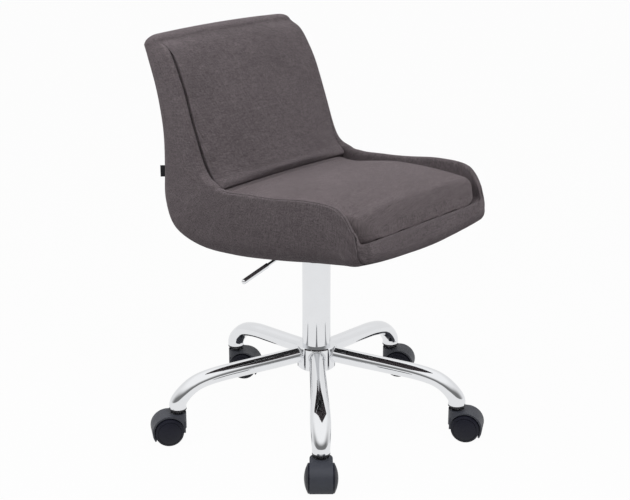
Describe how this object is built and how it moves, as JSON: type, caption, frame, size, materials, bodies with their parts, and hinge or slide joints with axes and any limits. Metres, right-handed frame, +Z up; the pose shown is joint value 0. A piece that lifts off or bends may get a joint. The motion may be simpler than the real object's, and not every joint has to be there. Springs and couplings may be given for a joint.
{
  "type": "adjustable swivel stool",
  "caption": "Adjustable swivel stool with an upholstered bucket seat on a gas lift, and a star base of bent chromed tube on swivelling twin-wheel casters.",
  "frame": {"origin": "on the floor, under the axis of the gas lift", "axes": "+Z up along the gas lift, the sitter faces -Y, the lever is on -X (the sitter's right)"},
  "size_m": [0.5682, 0.5547, 0.7062],
  "materials": {
    "chrome": "mirror polished",
    "lever_steel": "bright plated",
    "steel": "turned, zinc bright",
    "aluminium": "turned",
    "black_paint": "semi-matt black powder coat",
    "black_nylon": "moulded, matt",
    "hood_nylon": "moulded, fine grain",
    "wheel_nylon": "moulded, satin",
    "plywood": "raw, sanded",
    "lining": "thin non-woven cloth",
    "tab_fabric": "folded woven tape",
    "shell_fabric": "fine plain weave",
    "pad_fabric": "fine plain weave",
    "cushion_fabric": "fine plain weave"
  },
  "bodies": {
    "base": {"base_hub": "chrome", "base_arm_1": "chrome", "base_arm_2": "chrome", "base_arm_3": "chrome", "base_arm_4": "chrome", "base_arm_5": "chrome", "socket_plug_1": "black_nylon", "socket_plug_2": "black_nylon", "socket_plug_3": "black_nylon", "socket_plug_4": "black_nylon", "socket_plug_5": "black_nylon", "column_tube": "chrome", "guide_bush": "black_nylon", "bearing_washers": "steel", "bearing_balls": "steel"},
    "spindle": {"piston_rod": "steel", "piston_head": "aluminium", "rod_clip": "steel"},
    "seat": {"lift_cylinder": "chrome", "rod_guide": "black_nylon", "seat_plate": "black_paint", "taper_socket": "black_paint", "mount_bolts": "steel", "tee_nuts": "steel", "lever_pivot": "steel", "seat_board": "plywood", "under_cloth": "lining", "seat_shell": "shell_fabric", "back_pad": "pad_fabric", "seat_cushion": "cushion_fabric", "fabric_tab": "tab_fabric"},
    "lever": {"lever_rod": "lever_steel", "lever_handle": "chrome"},
    "release_pin": {"release_pin": "steel"},
    "caster_1": {"caster_hood_1": "hood_nylon", "caster_stem_1": "steel", "caster_axle_1": "steel"},
    "wheel_1_left": {"wheel_1_left": "wheel_nylon"},
    "wheel_1_right": {"wheel_1_right": "wheel_nylon"},
    "caster_2": {"caster_hood_2": "hood_nylon", "caster_stem_2": "steel", "caster_axle_2": "steel"},
    "wheel_2_left": {"wheel_2_left": "wheel_nylon"},
    "wheel_2_right": {"wheel_2_right": "wheel_nylon"},
    "caster_3": {"caster_hood_3": "hood_nylon", "caster_stem_3": "steel", "caster_axle_3": "steel"},
    "wheel_3_left": {"wheel_3_left": "wheel_nylon"},
    "wheel_3_right": {"wheel_3_right": "wheel_nylon"},
    "caster_4": {"caster_hood_4": "hood_nylon", "caster_stem_4": "steel", "caster_axle_4": "steel"},
    "wheel_4_left": {"wheel_4_left": "wheel_nylon"},
    "wheel_4_right": {"wheel_4_right": "wheel_nylon"},
    "caster_5": {"caster_hood_5": "hood_nylon", "caster_stem_5": "steel", "caster_axle_5": "steel"},
    "wheel_5_left": {"wheel_5_left": "wheel_nylon"},
    "wheel_5_right": {"wheel_5_right": "wheel_nylon"}
  },
  "joints": [
    {"name": "seat_swivel", "type": "hinge", "parent": "base", "child": "spindle", "pos_m": [0, 0, 0.12], "axis": [0, 0, 1], "continuous": true},
    {"name": "seat_lift", "type": "slide", "parent": "spindle", "child": "seat", "axis": [0, 0, 1], "range_m": [0, 0.12]},
    {"name": "lever_tilt", "type": "hinge", "parent": "seat", "child": "lever", "pos_m": [-0.036, 0, 0.345], "axis": [0, 1, 0], "range_deg": [0, 6], "stiffness_Nm_per_rad": 0.4, "springref_deg": -5.73},
    {"name": "pin_press", "type": "slide", "parent": "seat", "child": "release_pin", "axis": [0, 0, -1], "range_m": [0, 0.0043]},
    {"name": "caster_swivel_1", "type": "hinge", "parent": "base", "child": "caster_1", "pos_m": [0.25547, 0.02798, 0.06], "axis": [0, 0, 1], "continuous": true},
    {"name": "wheel_roll_1_left", "type": "hinge", "parent": "caster_1", "child": "wheel_1_left", "pos_m": [0.26447, 0.01239, 0.025], "axis": [0.866, 0.5, 0], "continuous": true},
    {"name": "wheel_roll_1_right", "type": "hinge", "parent": "caster_1", "child": "wheel_1_right", "pos_m": [0.26447, 0.01239, 0.025], "axis": [0.866, 0.5, 0], "continuous": true},
    {"name": "caster_swivel_2", "type": "hinge", "parent": "base", "child": "caster_2", "pos_m": [0.05234, 0.25161, 0.06], "axis": [0, 0, 1], "continuous": true},
    {"name": "wheel_roll_2_left", "type": "hinge", "parent": "caster_2", "child": "wheel_2_left", "pos_m": [0.06134, 0.23603, 0.025], "axis": [0.866, 0.5, 0], "continuous": true},
    {"name": "wheel_roll_2_right", "type": "hinge", "parent": "caster_2", "child": "wheel_2_right", "pos_m": [0.06134, 0.23603, 0.025], "axis": [0.866, 0.5, 0], "continuous": true},
    {"name": "caster_swivel_3", "type": "hinge", "parent": "base", "child": "caster_3", "pos_m": [-0.22313, 0.12753, 0.06], "axis": [0, 0, 1], "continuous": true},
    {"name": "wheel_roll_3_left", "type": "hinge", "parent": "caster_3", "child": "wheel_3_left", "pos_m": [-0.2375, 0.13836, 0.025], "axis": [-0.6018, -0.7986, 0], "continuous": true},
    {"name": "wheel_roll_3_right", "type": "hinge", "parent": "caster_3", "child": "wheel_3_right", "pos_m": [-0.2375, 0.13836, 0.025], "axis": [-0.6018, -0.7986, 0], "continuous": true},
    {"name": "caster_swivel_4", "type": "hinge", "parent": "base", "child": "caster_4", "pos_m": [-0.19024, -0.1728, 0.06], "axis": [0, 0, 1], "continuous": true},
    {"name": "wheel_roll_4_left", "type": "hinge", "parent": "caster_4", "child": "wheel_4_left", "pos_m": [-0.20382, -0.18461, 0.025], "axis": [0.6561, -0.7547, 0], "continuous": true},
    {"name": "wheel_roll_4_right", "type": "hinge", "parent": "caster_4", "child": "wheel_4_right", "pos_m": [-0.20382, -0.18461, 0.025], "axis": [0.6561, -0.7547, 0], "continuous": true},
    {"name": "caster_swivel_5", "type": "hinge", "parent": "base", "child": "caster_5", "pos_m": [0.10555, -0.23432, 0.06], "axis": [0, 0, 1], "continuous": true},
    {"name": "wheel_roll_5_left", "type": "hinge", "parent": "caster_5", "child": "wheel_5_left", "pos_m": [0.114, -0.25022, 0.025], "axis": [0.8829, 0.4695, 0], "continuous": true},
    {"name": "wheel_roll_5_right", "type": "hinge", "parent": "caster_5", "child": "wheel_5_right", "pos_m": [0.114, -0.25022, 0.025], "axis": [0.8829, 0.4695, 0], "continuous": true}
  ],
  "couplings": [
    {"joint": "pin_press", "follows": "lever_tilt", "m_per_rad": 0.04}
  ]
}
